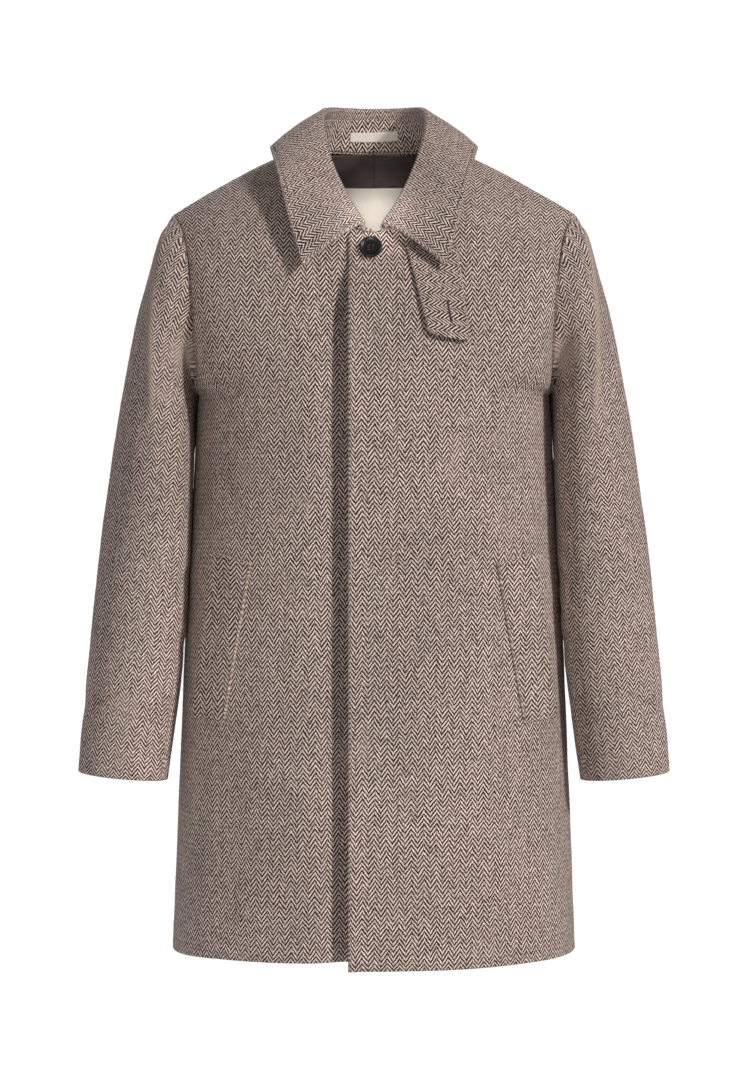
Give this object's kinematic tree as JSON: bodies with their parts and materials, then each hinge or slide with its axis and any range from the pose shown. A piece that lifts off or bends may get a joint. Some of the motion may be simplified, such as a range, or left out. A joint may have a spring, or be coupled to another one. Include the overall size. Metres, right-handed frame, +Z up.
{
  "type": "wool overcoat",
  "caption": "Hollow worn-shape single-breasted herringbone wool overcoat with point collar, throat tab, covered front closing, slanted welt pockets and long set-in sleeves.",
  "frame": {"origin": "in the middle of the neck, at the height where the shoulder seams meet the collar, where the wearer's shoulders carry the coat", "axes": "+Z up, +X towards the wearer's left, the front faces -Y"},
  "size_m": [0.655, 0.2905, 0.9512],
  "materials": {
    "wool_cloth": "matt herringbone wool with a short nap, pale beige and dark brown yarns",
    "satin_lining": "smooth dark brown satin",
    "label_cloth": "bare cream satin ribbon with a soft sheen",
    "button_horn": "satin black"
  },
  "bodies": {
    "root": {"front_left": "wool_cloth", "front_right": "wool_cloth", "back": "wool_cloth", "sleeve_left_upper": "wool_cloth", "sleeve_left_under": "wool_cloth", "sleeve_right_upper": "wool_cloth", "sleeve_right_under": "wool_cloth", "collar_fall": "wool_cloth", "collar_stand": "wool_cloth", "welt_left": "wool_cloth", "welt_right": "wool_cloth", "throat_tab": "wool_cloth", "lining_left": "satin_lining", "lining_right": "satin_lining", "label_main": "label_cloth", "label_small": "label_cloth", "button_neck": "button_horn"}
  },
  "joints": []
}
